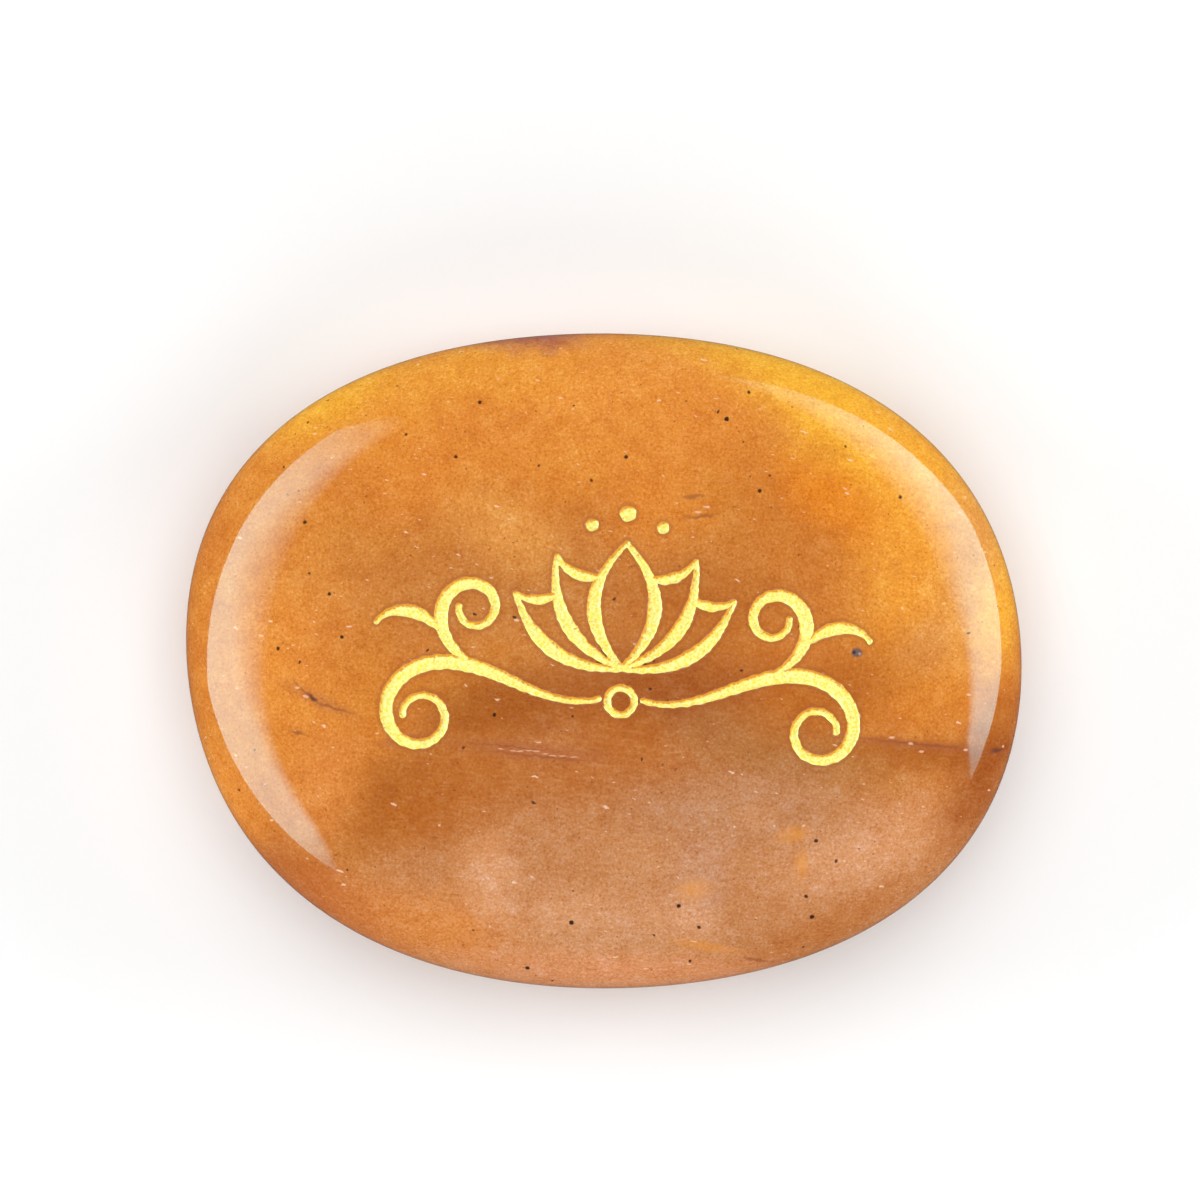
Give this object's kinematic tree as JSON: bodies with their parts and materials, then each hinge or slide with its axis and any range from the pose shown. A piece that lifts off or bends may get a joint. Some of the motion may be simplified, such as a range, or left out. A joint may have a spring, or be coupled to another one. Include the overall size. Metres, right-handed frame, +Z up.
{
  "type": "worry stone",
  "caption": "Oval polished palm stone of honey-orange quartz, flattened like a pebble, with a gold-filled engraved lotus between scrolls on its upper face.",
  "frame": {"origin": "middle of the stone's box, on the surface that it rests on", "axes": "+X along the stone's length, to the right of the ornament; +Y to the top of the ornament; +Z up, out of the engraved face"},
  "size_m": [0.06, 0.047, 0.015],
  "materials": {
    "stone": "honey-orange quartz, tumbled and polished to a high gloss, slightly translucent",
    "gold_paint": "metallic gold paint with a fine grain, brushed into the engraved lines"
  },
  "bodies": {
    "root": {"stone": "stone", "gilt_lotus": "gold_paint", "gilt_ring": "gold_paint", "gilt_bead_top": "gold_paint", "gilt_bead_left": "gold_paint", "gilt_bead_right": "gold_paint", "gilt_scroll_left": "gold_paint", "gilt_scroll_right": "gold_paint"}
  },
  "joints": []
}
